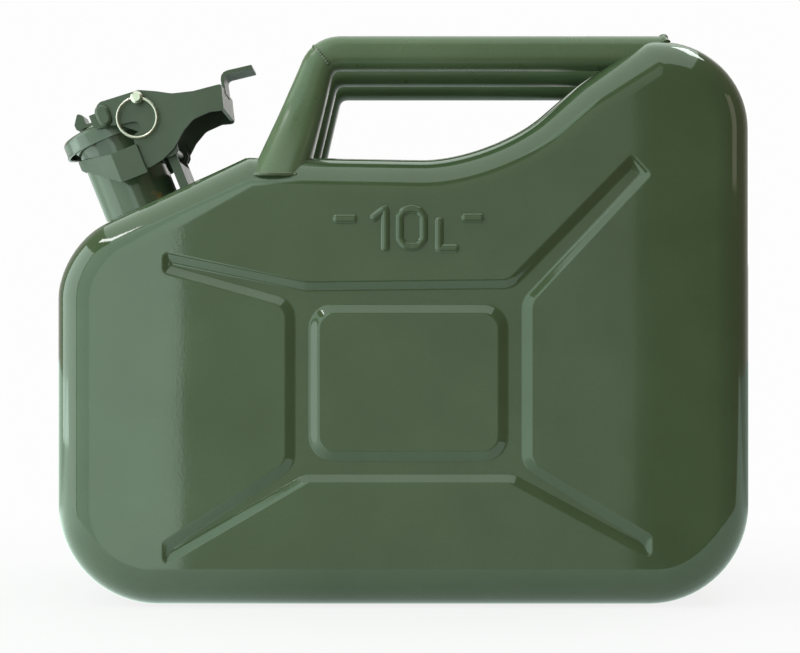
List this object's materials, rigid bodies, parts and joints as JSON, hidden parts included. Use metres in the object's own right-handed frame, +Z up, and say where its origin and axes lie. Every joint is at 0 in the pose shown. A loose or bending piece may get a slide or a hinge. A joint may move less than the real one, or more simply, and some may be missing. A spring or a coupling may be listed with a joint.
{
  "type": "fuel_can",
  "caption": "Olive green steel fuel can with three carrying bars and a cam lever closure locked by a ring pin",
  "frame": {"origin": "middle of the whole part's footprint at ground level, under the base", "axes": "X along the can's length, with the filler neck at -X; Y across the two broad faces; Z up"},
  "size_m": [0.3538, 0.165, 0.2846],
  "materials": {
    "enamel": "glossy",
    "steel": "satin",
    "nickel": "glossy",
    "rubber": "matte"
  },
  "bodies": {
    "can_body": {"near_shell": "enamel", "far_shell": "enamel", "seam_weld": "enamel", "near_handle": "enamel", "middle_handle": "enamel", "far_handle": "enamel", "neck_tube": "enamel", "neck_weld": "enamel", "neck_yoke": "enamel", "hinge_bracket": "enamel", "hinge_pin": "steel", "breather_tube": "enamel"},
    "cap_body": {"cap": "enamel", "gasket": "rubber", "cap_bridge": "enamel", "cap_rivet": "enamel", "near_pivot_rivet": "enamel", "far_pivot_rivet": "enamel"},
    "lever_body": {"lever": "enamel"},
    "pin_body": {"safety_pin": "nickel"},
    "ring_body": {"pin_ring": "nickel"}
  },
  "joints": [
    {"name": "closure_hinge", "type": "hinge", "parent": "can_body", "child": "cap_body", "pos_m": [-0.11822, 0, 0.23206], "axis": [0, 1, 0], "range_deg": [0, 70]},
    {"name": "lever_pivot", "type": "hinge", "parent": "cap_body", "child": "lever_body", "pos_m": [-0.15113, 0, 0.2481], "axis": [0, -1, 0], "range_deg": [0, 100]},
    {"name": "safety_pin_slide", "type": "slide", "parent": "lever_body", "child": "pin_body", "axis": [0, -1, 0], "range_m": [0, 0.075]},
    {"name": "ring_swing", "type": "hinge", "parent": "pin_body", "child": "ring_body", "pos_m": [-0.13328, -0.0349, 0.25704], "axis": [-1, 0, 0], "range_deg": [0, 100]}
  ],
  "couplings": [
    {"joint": "closure_hinge", "follows": "lever_pivot", "ratio": 0.7}
  ]
}
